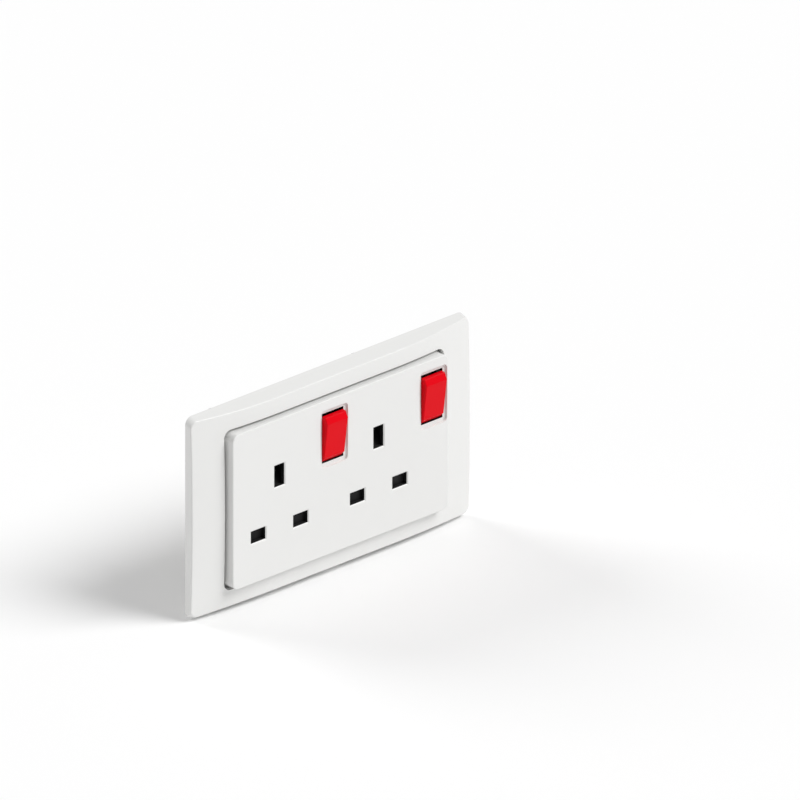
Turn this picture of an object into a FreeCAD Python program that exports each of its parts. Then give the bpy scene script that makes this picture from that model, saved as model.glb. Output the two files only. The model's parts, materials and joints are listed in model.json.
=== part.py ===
import FreeCAD, Part
import math
import os
import re

import Sketcher

# British twin switched socket outlet: a crowned surround that snaps over a flange, a raised panel with two
# sets of pin apertures and two rocker switches, and the contacts, shutters and terminals behind them.
# X runs right and Z up. The front faces -Y and the wall is the plane Y = 0, so a level is a distance in
# front of the wall. Every size is in millimetres.

SIZES = {
    # how far a cut runs on past a face, and how far a rib runs into what it grows from
    "cut_over": 1.0,
    "root_over": 0.2,
    "notch_over": 0.05,
    # snap-on surround
    "plate_width": 146.0,
    "plate_height": 86.0,
    "plate_corner": 3.2,
    "plate_level": 7.6,
    "plate_wall": 2.0,
    "plate_edge_round": 0.6,
    "flat_length": 60.0,
    "end_level": 4.0,
    "side_level": 6.7,
    "side_lean": 0.33,
    "lip_level": 3.4,
    "lip_wall": 1.6,
    "snap_offset": 42.0,
    "snap_length": 12.0,
    "snap_back": 0.2,
    "snap_height": 0.9,
    "snap_bite": 0.5,
    "pry_width": 8.0,
    "pry_height": 1.6,
    # raised panel and its flange
    "panel_width": 113.0,
    "panel_height": 66.0,
    "panel_corner": 3.0,
    "panel_level": 9.5,
    "panel_wall": 2.2,
    "panel_skirt": 1.8,
    "panel_edge_round": 0.4,
    "panel_gap": 0.4,
    "flange_width": 138.0,
    "flange_height": 78.6,
    "flange_wall": 2.0,
    "flange_corner": 11.0,
    "fixing_pitch": 120.6,
    "fixing_radius": 2.1,
    # pin apertures
    "first_axis": -32.0,
    "gang_pitch": 52.0,
    "line_drop": 13.3,
    "earth_rise": 8.9,
    "pin_spread": 11.1,
    "line_width": 7.6,
    "line_height": 5.2,
    "earth_width": 5.2,
    "earth_height": 9.2,
    "aperture_bevel": 0.4,
    # rockers
    "rocker_offset": 28.6,
    "rocker_rise": 16.8,
    "ledge_side": 1.55,
    "ledge_end": 1.6,
    "recess_corner": 1.8,
    "recess_depth": 1.0,
    "rocker_width": 10.8,
    "rocker_height": 19.6,
    "bevel_length": 2.2,
    "rocker_face": 5.6,
    "rocker_shoulder": 4.1,
    "rocker_skirt": 2.2,
    "rocker_edge_round": 0.35,
    "rocker_tilt": 7.5,
    "side_gap": 0.25,
    "end_gap": 0.8,
    "cap_room": 0.7,
    "pivot_depth": 4.5,
    "core_width": 9.2,
    "core_inset": 1.3,
    "core_foot": 5.2,
    "core_depth": 1.8,
    "core_gap": 0.3,
    "trunnion_radius": 1.2,
    "trunnion_span": 12.0,
    "bearing_gap": 0.05,
    "bearing_wall": 1.7,
    "stem_radius": 2.2,
    "stem_reach": 6.6,
    "stem_bore": 1.3,
    "bore_top": 0.5,
    "plunger_radius": 1.2,
    "plunger_round": 1.0,
    "plunger_head": 5.0,
    "plunger_reach": 9.1,
    # switch contacts
    "plunger_gap": 0.1,
    "contact_wall": 0.8,
    "contact_width": 5.0,
    "contact_corner": 1.0,
    "contact_length": 17.0,
    "contact_tilt": 5.0,
    "tip_rise": 7.0,
    "tip_radius": 1.3,
    "tip_height": 0.6,
    "tip_drop": 1.45,
    "ridge_radius": 0.6,
    "ridge_gap": 0.05,
    "cheek_gap": 0.2,
    "cheek_wall": 0.7,
    "cheek_height": 4.0,
    # bars, clips and terminals
    "bar_wall": 0.8,
    "live_drop": 2.0,
    "line_level": -9.0,
    "earth_level": -14.0,
    "bar_width": 3.4,
    "rail_offset": 6.6,
    "tab_margin": 0.5,
    "leaf_wall": 0.6,
    "clip_width": 6.4,
    "clip_base": 5.2,
    "clip_throat": 3.4,
    "throat_level": -1.5,
    "mouth_level": 1.5,
    "earth_clip_width": 8.4,
    "earth_throat_level": -5.0,
    "earth_mouth_level": -1.5,
    "block_width": 8.0,
    "block_height": 7.6,
    "block_back": -16.0,
    "block_rise": 25.1,
    "wire_radius": 2.0,
    "entry_room": 1.0,
    "wire_level": -13.0,
    "live_block": 14.0,
    "earth_block": -24.0,
    # carrier, shutters and their springs
    "carrier_wall": 1.7,
    "carrier_gap": 0.3,
    "well_wall": 1.1,
    "well_gap": 0.3,
    "well_back": -8.6,
    "earth_well_back": -13.6,
    "slide_gap": 0.2,
    "shutter_width": 30.8,
    "shutter_wall": 2.2,
    "shutter_cover": 0.8,
    "shutter_travel": 6.5,
    "ramp_width": 8.8,
    "ramp_foot": 3.6,
    "ramp_heel": 4.6,
    "ramp_lead": 4.6,
    "ramp_top": 11.6,
    "ramp_back": -0.6,
    "ramp_tip": 0.8,
    "ramp_room": 0.5,
    "guide_wall": 1.2,
    "spring_radius": 1.0,
    "spring_wire": 0.2,
    "spring_foot": 29.8,
    "spring_rest": 0.05,
    "foot_width": 5.0,
    "peg_length": 1.5,
    "shutter_turns": 5.0,
    "rocker_turns": 4.0,
    # rear housing and screws
    "housing_width": 108.0,
    "housing_height": 62.0,
    "housing_depth": 20.2,
    "housing_wall": 2.0,
    "housing_corner": 3.0,
    "housing_bevel": 1.3,
    "left_post": 8.0,
    "middle_post": 20.0,
    "earth_post_offset": 17.0,
    "strap_post_drop": 4.0,
    "back_recess_width": 84.0,
    "back_recess_height": 34.0,
    "back_recess_depth": 0.5,
    "gauge_width": 2.4,
    "gauge_length": 9.0,
    "gauge_depth": 0.8,
    "seat_width": 1.0,
    "column_left": -40.0,
    "column_right": 35.0,
    "column_rise": 26.5,
    "column_radius": 3.0,
    "screw_radius": 1.4,
    "screw_gap": 0.2,
    "thread_gap": 0.05,
    "thread_end": 0.8,
    "screw_head_radius": 2.7,
    "screw_head_height": 1.8,
    "screw_slot": 0.8,
    "clamp_radius": 1.75,
    "clamp_head_radius": 2.4,
    "clamp_head_height": 1.7,
}

# levels and places that follow from the sizes
SIDE_DROP = "(plate_level - side_level)"
END_DROP = "(plate_level - end_level)"
END_REACH = "((plate_width - flat_length) / 2)"
SIDE_RADIUS = "(((plate_height / 2) ^ 2 + {0} ^ 2) / (2 * {0}))".format(SIDE_DROP)
END_RADIUS = "(({1} ^ 2 + {0} ^ 2) / (2 * {0}))".format(END_DROP, END_REACH)
PANEL_BACK = "(panel_level - panel_wall)"
RECESS_FLOOR = "(panel_level - recess_depth)"
SHUTTER_FRONT = "(panel_level - panel_wall - slide_gap)"
SHUTTER_BACK = "(%s - shutter_wall)" % SHUTTER_FRONT
CARRIER_FRONT = "(%s - slide_gap)" % SHUTTER_BACK
CARRIER_BACK = "(%s - carrier_wall)" % CARRIER_FRONT
PIVOT = "(panel_level - pivot_depth)"
WINDOW_WIDTH = "(rocker_width + 2 * side_gap)"
WINDOW_HEIGHT = "(rocker_height + 2 * end_gap)"
CONTACT_BACK = "(%s - plunger_reach - plunger_gap - contact_wall)" % PIVOT
FIXED_TIP = "(%s - tip_drop)" % CONTACT_BACK
LIVE = "(%s - live_drop)" % CONTACT_BACK
BEARING_RADIUS = "(trunnion_radius + bearing_gap)"
BEARING_INNER = "(core_width / 2 + core_gap)"
SIDES = (("left", "first_axis"), ("right", "first_axis + gang_pitch"))

doc = FreeCAD.newDocument("twin_socket")
sheet = doc.addObject("Spreadsheet::Sheet", "sizes")
for row, (alias, value) in enumerate(SIZES.items(), start=1):
    sheet.set("A%d" % row, alias)
    sheet.set("B%d" % row, str(value))
    sheet.setAlias("B%d" % row, alias)
doc.recompute()


def linked(text):
    # every alias has an underscore, so each such word is looked up in the sheet
    return re.sub(r"\b([a-z]+(?:_[a-z]+)+)\b", r"sizes.\1", text)


def bind(item, path, text):
    item.setExpression(path, linked(text))


def origin_part(body, role):
    return next(part for part in body.Origin.OriginFeatures if part.Role == role)


def new_body(label):
    body = doc.addObject("PartDesign::Body", label)
    body.Label = label
    body.AllowCompound = True
    return body


def new_sketch(body, name, level="0", plane="XZ_Plane"):
    sketch = body.newObject("Sketcher::SketchObject", name)
    sketch.AttachmentSupport = [(origin_part(body, plane), "")]
    sketch.MapMode = "FlatFace"
    bind(sketch, ".AttachmentOffset.Base.z", level)
    return sketch


def fix_point(sketch, geometry, point, across, up):
    for kind, text in (("DistanceX", across), ("DistanceY", up)):
        number = sketch.addConstraint(Sketcher.Constraint(kind, -1, 1, geometry, point, 1.0))
        bind(sketch, "Constraints[%d]" % number, text)


def polygon(sketch, corners):
    count = len(corners)
    first = sketch.GeometryCount
    turns = [2 * math.pi * step / count for step in range(count)]
    spots = [FreeCAD.Vector(math.cos(turn), math.sin(turn), 0) for turn in turns]
    lines = [Part.LineSegment(spots[step], spots[(step + 1) % count]) for step in range(count)]
    sketch.addGeometry(lines, False)
    for step in range(count):
        following = first + (step + 1) % count
        sketch.addConstraint(Sketcher.Constraint("Coincident", first + step, 2, following, 1))
    for step, (across, up) in enumerate(corners):
        fix_point(sketch, first + step, 1, across, up)


def rectangle(sketch, across, up, width, height):
    left, right = "(%s) - (%s) / 2" % (across, width), "(%s) + (%s) / 2" % (across, width)
    low, high = "(%s) - (%s) / 2" % (up, height), "(%s) + (%s) / 2" % (up, height)
    polygon(sketch, [(left, low), (right, low), (right, high), (left, high)])


def span(sketch, left, right, low, high):
    polygon(sketch, [(left, low), (right, low), (right, high), (left, high)])


def circle(sketch, across, up, radius):
    number = sketch.addGeometry(Part.Circle(FreeCAD.Vector(1, 1, 0), FreeCAD.Vector(0, 0, 1), 1), False)
    fix_point(sketch, number, 3, across, up)
    size = sketch.addConstraint(Sketcher.Constraint("Radius", number, 1.0))
    bind(sketch, "Constraints[%d]" % size, radius)


def feature(body, kind, name, sketch, length, middle=False):
    made = body.newObject("PartDesign::" + kind, name)
    made.Profile = sketch
    bind(made, "Length", length)
    if middle:
        made.SideType = "Symmetric"
    sketch.Visibility = False
    return made


def pad(body, name, sketch, length, middle=False):
    return feature(body, "Pad", name, sketch, length, middle)


def pocket(body, name, sketch, length, middle=False):
    return feature(body, "Pocket", name, sketch, length, middle)


def repeat(body, name, originals):
    pattern = body.newObject("PartDesign::LinearPattern", name)
    pattern.Originals = originals
    pattern.Direction = (origin_part(body, "X_Axis"), [""])
    bind(pattern, "Length", "gang_pitch")
    pattern.Occurrences = 2
    body.Tip = pattern
    return pattern


def dress(body, kind, name, base, edges, size_name, size):
    doc.recompute()
    names = ["Edge%d" % (number + 1) for number, edge in enumerate(base.Shape.Edges) if edges(edge, base.Shape)]
    made = body.newObject("PartDesign::" + kind, name)
    made.Base = (base, names)
    bind(made, size_name, size)
    return made


def rounded(body, name, base, edges, radius):
    return dress(body, "Fillet", name, base, edges, "Radius", radius)


def depth(edge):
    return edge.BoundBox.YLength


def at_corner(edge, shape):
    # on a plain block, only the four edges that run through it have a depth
    return depth(edge) > 0.5


def at_front(edge, shape):
    return depth(edge) < 0.001 and abs(edge.BoundBox.YMin - shape.BoundBox.YMin) < 0.001


def straight_at_front(edge, shape):
    return at_front(edge, shape) and len(edge.Vertexes) == 2 and edge.Length < 12


def arc_radius(half, drop):
    return (half ** 2 + drop ** 2) / (2 * drop)


def front_region(sketch, inset, height, axis_shift):
    # the region in front of the side arc, from one long side to the other, drawn first near its final place
    level = SIZES["plate_level"] - inset
    radius = arc_radius(SIZES["plate_height"] / 2, SIZES["plate_level"] - SIZES["side_level"]) - inset
    half = SIZES["plate_height"] / 2 + 5
    reach = (SIZES["plate_width"] - SIZES["flat_length"]) / 2
    end_radius = arc_radius(reach, SIZES["plate_level"] - SIZES["end_level"])
    shift = end_radius - SIZES["plate_level"] if axis_shift else 0.0
    middle = FreeCAD.Vector(radius - level - shift, 0, 0)
    turn = math.asin(half / radius)
    ring = Part.Circle(middle, FreeCAD.Vector(0, 0, 1), radius)
    sketch.addGeometry(Part.ArcOfCircle(ring, math.pi - turn, math.pi + turn), False)
    edge = middle.x - radius * math.cos(turn)
    front = -30.0 - shift
    spots = [(edge, -half), (front, -half), (front, half), (edge, half)]
    points = [FreeCAD.Vector(across, up, 0) for across, up in spots]
    sketch.addGeometry([Part.LineSegment(points[step], points[step + 1]) for step in range(3)], False)
    for first, second in (((0, 2), (1, 1)), ((1, 2), (2, 1)), ((2, 2), (3, 1)), ((3, 2), (0, 1))):
        sketch.addConstraint(Sketcher.Constraint("Coincident", *first, *second))
    sketch.addConstraint(Sketcher.Constraint("Horizontal", 1))
    sketch.addConstraint(Sketcher.Constraint("Vertical", 2))
    sketch.addConstraint(Sketcher.Constraint("Horizontal", 3))
    moved = " - (%s - plate_level)" % END_RADIUS if axis_shift else ""
    size = sketch.addConstraint(Sketcher.Constraint("Radius", 0, radius))
    bind(sketch, "Constraints[%d]" % size, "%s - (%s)" % (SIDE_RADIUS, height))
    fix_point(sketch, 0, 3, SIDE_RADIUS + " - plate_level" + moved, "0")
    for point, sign in ((1, ""), (2, "-")):
        number = sketch.addConstraint(Sketcher.Constraint("DistanceY", -1, 1, 0, point, half))
        bind(sketch, "Constraints[%d]" % number, sign + "(plate_height / 2 + 5)")
    number = sketch.addConstraint(Sketcher.Constraint("DistanceX", -1, 1, 1, 2, front))
    bind(sketch, "Constraints[%d]" % number, "-30" + moved)


def crowned_block(label, inset, height, back):
    # a block whose long sides lean in, and whose front is flat along the middle and falls on an arc to each
    # end and to each side
    body = new_body(label)
    outline = new_sketch(body, label + "_outline", plane="YZ_Plane")
    front = "plate_level - (%s)" % height
    half = "plate_height / 2 - (%s) - side_lean * (%s)"
    side_view(outline, [
        (back, "-(%s)" % (half % (height, back))), (front, "-(%s)" % (half % (height, front))),
        (front, half % (height, front)), (back, half % (height, back)),
    ])
    block = pad(body, label + "_block", outline, "plate_width - 2 * (%s)" % height, middle=True)
    corners = rounded(body, label + "_corners", block, at_corner, "plate_corner - (%s)" % height)
    body.Tip = corners
    middle = new_sketch(body, label + "_middle", "0", "YZ_Plane")
    front_region(middle, inset, height, False)
    pocket(body, label + "_middle_cut", middle, "flat_length", middle=True)
    for end, sign in (("right", ""), ("left", "-")):
        side = new_sketch(body, label + "_" + end, sign + "flat_length / 2", "YZ_Plane")
        bind(side, ".AttachmentOffset.Base.x", END_RADIUS + " - plate_level")
        front_region(side, inset, height, True)
        groove = body.newObject("PartDesign::Groove", label + "_" + end + "_cut")
        groove.Profile = side
        groove.ReferenceAxis = (side, ["V_Axis"])
        groove.Angle = 60
        groove.Reversed = end == "left"
    return body


def at_plate_edge(edge, shape):
    box, spot = shape.BoundBox, edge.CenterOfMass
    outside = abs(spot.x) > box.XLength / 2 - 2.5 or abs(spot.z) > box.ZLength / 2 - 3.5
    return outside and edge.BoundBox.YMax < -1.0 and depth(edge) < 6.0 and edge.BoundBox.YMin < -1.5


def surround():
    outer = crowned_block("surround_outer", 0.0, "0", "0")
    edges = rounded(outer, "surround_edges", outer.Tip, at_plate_edge, "plate_edge_round")
    outer.Tip = edges
    window = new_sketch(outer, "surround_window", "plate_level + cut_over")
    wide, high, corner = "panel_width + 2 * panel_gap", "panel_height + 2 * panel_gap", "panel_corner + panel_gap"
    round_rectangle(window, "0", "0", wide, high, corner)
    pocket(outer, "surround_window_cut", window, "plate_level + 2 * cut_over")
    notch = new_sketch(outer, "pry_notch", "pry_height")
    rectangle(notch, "0", "-plate_height / 2", "pry_width", "3 * plate_wall")
    pocket(outer, "pry_notch_cut", notch, "pry_height")
    core = crowned_block("surround_core", SIZES["plate_wall"], "plate_wall", "-1")
    lip = new_sketch(core, "lip", "plate_level")
    round_rectangle(lip, "0", "0", wide + " + 2 * lip_wall", high + " + 2 * lip_wall", corner + " + lip_wall")
    pocket(core, "lip_cut", lip, "plate_level - lip_level")
    snaps = new_sketch(core, "snaps", "snap_back + snap_height")
    for across in ("snap_offset", "-snap_offset"):
        for side in ("", "-"):
            inner = "%s(flange_height / 2 - snap_bite)" % side
            outer_edge = "%s(plate_height / 2)" % side
            low, high = (inner, outer_edge) if side == "" else (outer_edge, inner)
            span(snaps, across + " - snap_length / 2", across + " + snap_length / 2", low, high)
    pocket(core, "snap_cut", snaps, "snap_height")
    shell = doc.addObject("Part::Cut", "surround_plate")
    shell.Label = "surround_plate"
    shell.Base = outer
    shell.Tool = core
    return shell


def screw_places(sketch, radius):
    for across in ("column_left", "column_right"):
        for up in ("column_rise", "-column_rise"):
            circle(sketch, across, up, radius)


def front_panel():
    body = new_body("front_panel")
    outline = new_sketch(body, "panel_outline")
    rectangle(outline, "0", "0", "panel_width", "panel_height")
    block = pad(body, "panel_block", outline, "panel_level")
    corners = rounded(body, "panel_corners", block, at_corner, "panel_corner")
    rounded(body, "panel_edges", corners, at_front, "panel_edge_round")
    flange = new_sketch(body, "flange_outline")
    round_rectangle(flange, "0", "0", "flange_width", "flange_height", "flange_corner")
    pad(body, "flange", flange, "flange_wall")
    cavity = new_sketch(body, "cavity_outline", PANEL_BACK)
    rectangle(cavity, "0", "0", "panel_width - 2 * panel_skirt", "panel_height - 2 * panel_skirt")
    pocket(body, "cavity", cavity, PANEL_BACK + " - flange_wall")
    mouth = new_sketch(body, "mouth_outline", "flange_wall")
    mouth_wide = "housing_width - 2 * seat_width"
    rectangle(mouth, "0", "0", mouth_wide, "housing_height - 2 * seat_width")
    pocket(body, "mouth", mouth, "flange_wall + cut_over")
    fixings = new_sketch(body, "fixing_places", "flange_wall")
    circle(fixings, "fixing_pitch / 2", "0", "fixing_radius")
    circle(fixings, "-fixing_pitch / 2", "0", "fixing_radius")
    pocket(body, "fixing_holes", fixings, "flange_wall + cut_over")
    reliefs = new_sketch(body, "relief_places", "snap_back + snap_height + slide_gap / 2")
    for across in ("snap_offset", "-snap_offset"):
        for side in ("", "-"):
            up = "%s(flange_height / 2)" % side
            rectangle(reliefs, across, up, "snap_length + 2 * slide_gap", "4 * snap_bite")
    pocket(body, "snap_reliefs", reliefs, "snap_back + snap_height + slide_gap")
    apertures = new_sketch(body, "aperture_places", "panel_level")
    rectangle(apertures, "first_axis", "earth_rise", "earth_width", "earth_height")
    for side in ("first_axis - pin_spread", "first_axis + pin_spread"):
        rectangle(apertures, side, "-line_drop", "line_width", "line_height")
    cut = pocket(body, "apertures", apertures, "panel_wall + cut_over")
    both = repeat(body, "both_apertures", [cut])
    bevels = dress(body, "Chamfer", "aperture_bevels", both, straight_at_front, "Size", "aperture_bevel")
    body.Tip = bevels
    panel_rocker_places(body)
    panel_inner_ribs(body)
    return body


def panel_rocker_places(body):
    rocker = "first_axis + rocker_offset"
    recess = new_sketch(body, "recess_outline", "panel_level")
    recess_height = WINDOW_HEIGHT + " + 2 * ledge_end"
    round_rectangle(recess, rocker, "rocker_rise", WINDOW_WIDTH + " + 2 * ledge_side", recess_height, "recess_corner")
    recess_cut = pocket(body, "recess", recess, "recess_depth")
    ears = new_sketch(body, "bearing_outline", CARRIER_FRONT + " + bearing_gap")
    for side in ("-", "+"):
        middle = "%s %s (%s + bearing_wall / 2)" % (rocker, side, BEARING_INNER)
        rectangle(ears, middle, "rocker_rise", "bearing_wall", "4 * trunnion_radius")
    ear_pad = pad(body, "bearings", ears, PANEL_BACK + " - " + CARRIER_FRONT + " - bearing_gap + root_over")
    window = new_sketch(body, "rocker_window_outline", RECESS_FLOOR)
    rectangle(window, rocker, "rocker_rise", WINDOW_WIDTH, WINDOW_HEIGHT)
    window_cut = pocket(body, "rocker_window", window, "panel_wall - recess_depth + cap_room")
    notch = new_sketch(body, "bearing_notch", rocker, "YZ_Plane")
    circle(notch, "-" + PIVOT, "rocker_rise", BEARING_RADIUS)
    notch_cut = pocket(body, "bearing_notches", notch, "2 * (%s + bearing_wall + notch_over)" % BEARING_INNER, middle=True)
    repeat(body, "both_rocker_places", [recess_cut, ear_pad, window_cut, notch_cut])


def panel_inner_ribs(body):
    ribs = new_sketch(body, "shutter_ribs", SHUTTER_BACK)
    top = "-(line_drop - line_height / 2 - shutter_cover) + slide_gap / 2"
    for side in ("-", "+"):
        stop = "first_axis %s pin_spread" % side
        span(ribs, stop + " - line_width / 2", stop + " + line_width / 2", top, top + " + guide_wall")
        guide = "first_axis %s (shutter_width / 2 + slide_gap + guide_wall / 2)" % side
        low = "-(line_drop + line_height / 2 + shutter_cover + shutter_travel + 1)"
        span(ribs, guide + " - guide_wall / 2", guide + " + guide_wall / 2", low, top + " + guide_wall")
    rib_pad = pad(body, "shutter_guides", ribs, PANEL_BACK + " - " + SHUTTER_BACK + " + root_over")
    foot = new_sketch(body, "spring_foot_outline", SHUTTER_BACK)
    skirt = "-(panel_height / 2 - panel_skirt) - root_over"
    span(foot, "first_axis - foot_width / 2", "first_axis + foot_width / 2", skirt, "-spring_foot")
    foot_pad = pad(body, "spring_feet", foot, PANEL_BACK + " - " + SHUTTER_BACK + " + root_over")
    peg = new_sketch(body, "foot_peg", "-spring_foot", "XY_Plane")
    circle(peg, "first_axis", "-(%s + %s) / 2" % (SHUTTER_FRONT, SHUTTER_BACK), "spring_radius - 2 * spring_wire")
    peg_pad = pad(body, "foot_pegs", peg, "peg_length")
    repeat(body, "both_shutter_places", [rib_pad, foot_pad, peg_pad])
    bosses = new_sketch(body, "boss_outline", CARRIER_FRONT)
    screw_places(bosses, "column_radius")
    pad(body, "bosses", bosses, PANEL_BACK + " - " + CARRIER_FRONT + " + root_over")
    bores = new_sketch(body, "boss_bore_places", PANEL_BACK + " + cut_over")
    screw_places(bores, "screw_radius + thread_gap")
    pocket(body, "boss_bores", bores, PANEL_BACK + " + cut_over - " + CARRIER_FRONT)


def round_rectangle(sketch, across, up, width, height, corner):
    # four quarter arcs, counter-clockwise from the upper right, joined by four lines
    first = sketch.GeometryCount
    normal = FreeCAD.Vector(0, 0, 1)
    ways = ((1, 1), (-1, 1), (-1, -1), (1, -1))
    for quarter, (right, top) in enumerate(ways):
        ring = Part.Circle(FreeCAD.Vector(3 * right, 3 * top, 0), normal, 1)
        start = quarter * math.pi / 2
        sketch.addGeometry(Part.ArcOfCircle(ring, start, start + math.pi / 2), False)
    for quarter in range(4):
        arc, following = first + quarter, first + (quarter + 1) % 4
        start = sketch.getPoint(arc, 2)
        line = sketch.addGeometry(Part.LineSegment(start, sketch.getPoint(following, 1)), False)
        sketch.addConstraint(Sketcher.Constraint("Coincident", arc, 2, line, 1))
        sketch.addConstraint(Sketcher.Constraint("Coincident", line, 2, following, 1))
    for quarter, (right, top) in enumerate(ways):
        arc = first + quarter
        signs = ("+" if right > 0 else "-", "+" if top > 0 else "-")
        middle_x = "(%s) %s ((%s) / 2 - %s)" % (across, signs[0], width, corner)
        middle_y = "(%s) %s ((%s) / 2 - %s)" % (up, signs[1], height, corner)
        fix_point(sketch, arc, 3, middle_x, middle_y)
        side_point, top_point = (1, 2) if quarter % 2 == 0 else (2, 1)
        sketch.addConstraint(Sketcher.Constraint("Horizontal", arc, 3, arc, side_point))
        sketch.addConstraint(Sketcher.Constraint("Vertical", arc, 3, arc, top_point))
        ends = (3, side_point) if right > 0 else (side_point, 3)
        number = sketch.addConstraint(Sketcher.Constraint("DistanceX", arc, ends[0], arc, ends[1], 1.0))
        bind(sketch, "Constraints[%d]" % number, corner)


def side_view(sketch, corners):
    # corners given as a level and a height, on a sketch that looks along X
    polygon(sketch, [("-(%s)" % level, height) for level, height in corners])


def place(body, across, level, up, angle=None):
    body.Placement = FreeCAD.Placement(FreeCAD.Vector(), FreeCAD.Rotation(FreeCAD.Vector(1, 0, 0), 1))
    bind(body, "Placement.Base.x", across)
    bind(body, "Placement.Base.y", "-(%s)" % level)
    bind(body, "Placement.Base.z", up)
    bind(body, "Placement.Rotation.Angle", angle or "0")


def at_rocker(body, axis):
    place(body, axis + " + rocker_offset", PIVOT, "rocker_rise", "rocker_tilt")


def rocker(side, axis):
    body = new_body("rocker_" + side)
    cap = new_sketch(body, "cap_outline_" + side, plane="YZ_Plane")
    half, flat = "(rocker_height / 2)", "(rocker_height / 2 - bevel_length)"
    side_view(cap, [
        ("rocker_skirt", "-" + half), ("rocker_shoulder", "-" + half), ("rocker_face", "-" + flat),
        ("rocker_face", flat), ("rocker_shoulder", half), ("rocker_skirt", half),
    ])
    cap_pad = pad(body, "cap_" + side, cap, "rocker_width", middle=True)
    rounded(body, "cap_edges_" + side, cap_pad, clear_of_back, "rocker_edge_round")
    core = new_sketch(body, "core_outline_" + side, plane="YZ_Plane")
    side_view(core, [
        ("rocker_skirt", "-(rocker_height / 2 - core_inset)"), ("rocker_skirt", "rocker_height / 2 - core_inset"),
        ("-core_depth", "core_foot / 2"), ("-core_depth", "-core_foot / 2"),
    ])
    pad(body, "core_" + side, core, "core_width", middle=True)
    pin = new_sketch(body, "trunnion_outline_" + side, plane="YZ_Plane")
    circle(pin, "0", "0", "trunnion_radius")
    pad(body, "trunnions_" + side, pin, "trunnion_span", middle=True)
    stem = new_sketch(body, "stem_outline_" + side, "-stem_reach")
    circle(stem, "0", "0", "stem_radius")
    pad(body, "stem_" + side, stem, "stem_reach - core_depth")
    bore = new_sketch(body, "bore_outline_" + side, "bore_top")
    circle(bore, "0", "0", "stem_bore")
    pocket(body, "stem_bore_" + side, bore, "bore_top + stem_reach + cut_over")
    at_rocker(body, axis)
    return body


def clear_of_back(edge, shape):
    return edge.BoundBox.YMax < shape.BoundBox.YMax - 0.01


def plunger(side, axis):
    body = new_body("plunger_" + side)
    outline = new_sketch(body, "plunger_outline_" + side, "-plunger_reach")
    circle(outline, "0", "0", "plunger_radius")
    rod = pad(body, "plunger_rod_" + side, outline, "plunger_reach - plunger_head")
    tip = dress(body, "Fillet", "plunger_tip_" + side, rod, at_back, "Radius", "plunger_round")
    body.Tip = tip
    at_rocker(body, axis)
    return body


def at_back(edge, shape):
    return depth(edge) < 0.001 and edge.BoundBox.YMax > shape.BoundBox.YMax - 0.01


def wire_section(sketch, across, up):
    # the round wire is drawn with four flats
    polygon(sketch, [
        ("%s - spring_wire" % across, up), (across, "%s - spring_wire" % up),
        ("%s + spring_wire" % across, up), (across, "%s + spring_wire" % up),
    ])


def coil(body, name, sketch, axis, pitch, height):
    made = body.newObject("PartDesign::AdditiveHelix", name)
    made.Profile = sketch
    made.ReferenceAxis = (sketch, [axis])
    made.Mode = 0
    bind(made, "Pitch", pitch)
    bind(made, "Height", height)
    sketch.Visibility = False
    return made


def rocker_spring(side, axis):
    body = new_body("rocker_spring_" + side)
    wire = new_sketch(body, "rocker_spring_wire_" + side, plane="YZ_Plane")
    wire_section(wire, "-(bore_top - spring_wire - 2 * spring_rest)", "stem_bore - 2 * spring_wire")
    length = "(bore_top + plunger_head - 2 * spring_wire - 4 * spring_rest)"
    coil(body, "rocker_coil_" + side, wire, "H_Axis", length + " / rocker_turns", length)
    at_rocker(body, axis)
    return body


def at_fulcrum(body, axis):
    place(body, axis + " + rocker_offset", CONTACT_BACK, "rocker_rise", "-contact_tilt")


def moving_contact(side, axis):
    body = new_body("moving_contact_" + side)
    outline = new_sketch(body, "contact_outline_" + side)
    rectangle(outline, "0", "0", "contact_width", "contact_length")
    strip = pad(body, "contact_strip_" + side, outline, "contact_wall")
    corners = rounded(body, "contact_corners_" + side, strip, at_corner, "contact_corner")
    body.Tip = corners
    at_fulcrum(body, axis)
    return body


def moving_tip(side, axis):
    body = new_body("moving_tip_" + side)
    outline = new_sketch(body, "tip_outline_" + side, "-tip_height")
    circle(outline, "0", "tip_rise", "tip_radius")
    pad(body, "tip_" + side, outline, "tip_height")
    at_fulcrum(body, axis)
    return body


def fixed_tips():
    body = new_body("fixed_tips")
    outline = new_sketch(body, "fixed_tip_outline", FIXED_TIP + " - tip_height")
    circle(outline, "first_axis + rocker_offset", "rocker_rise + tip_rise", "tip_radius")
    disc = pad(body, "fixed_tip", outline, "tip_height")
    repeat(body, "both_fixed_tips", [disc])
    return body


def clip_outline(sketch, base, throat, mouth, along):
    # a U of spring leaf, pinched at the throat and flared at the mouth, seen along the pin's width
    wide, narrow, leaf = "clip_base / 2", "clip_throat / 2", "leaf_wall"
    half = [
        (base + " - bar_wall", "(%s + %s)" % (wide, leaf)), (throat, "(%s + %s)" % (narrow, leaf)),
        (mouth, "(%s + %s)" % (wide, leaf)), (mouth, "(%s)" % wide),
        (throat, "(%s)" % narrow), (base, "(%s)" % wide),
    ]
    corners = half + [(level, "-" + spread) for level, spread in reversed(half)]
    if along == "X":
        side_view(sketch, corners)
        return
    polygon(sketch, [("first_axis + " + spread, "-(%s)" % level) for level, spread in corners])


def pin_clip(body, name, across):
    outline = new_sketch(body, name + "_outline", across, "YZ_Plane")
    bind(outline, ".AttachmentOffset.Base.y", "-line_drop")
    clip_outline(outline, "line_level", "throat_level", "mouth_level", "X")
    return pad(body, name, outline, "clip_width", middle=True)


def bar(body, name, level, left, right, low, high, wall="bar_wall"):
    outline = new_sketch(body, name + "_outline", "%s - %s" % (level, wall))
    span(outline, left, right, low, high)
    return pad(body, name, outline, wall)


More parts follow.
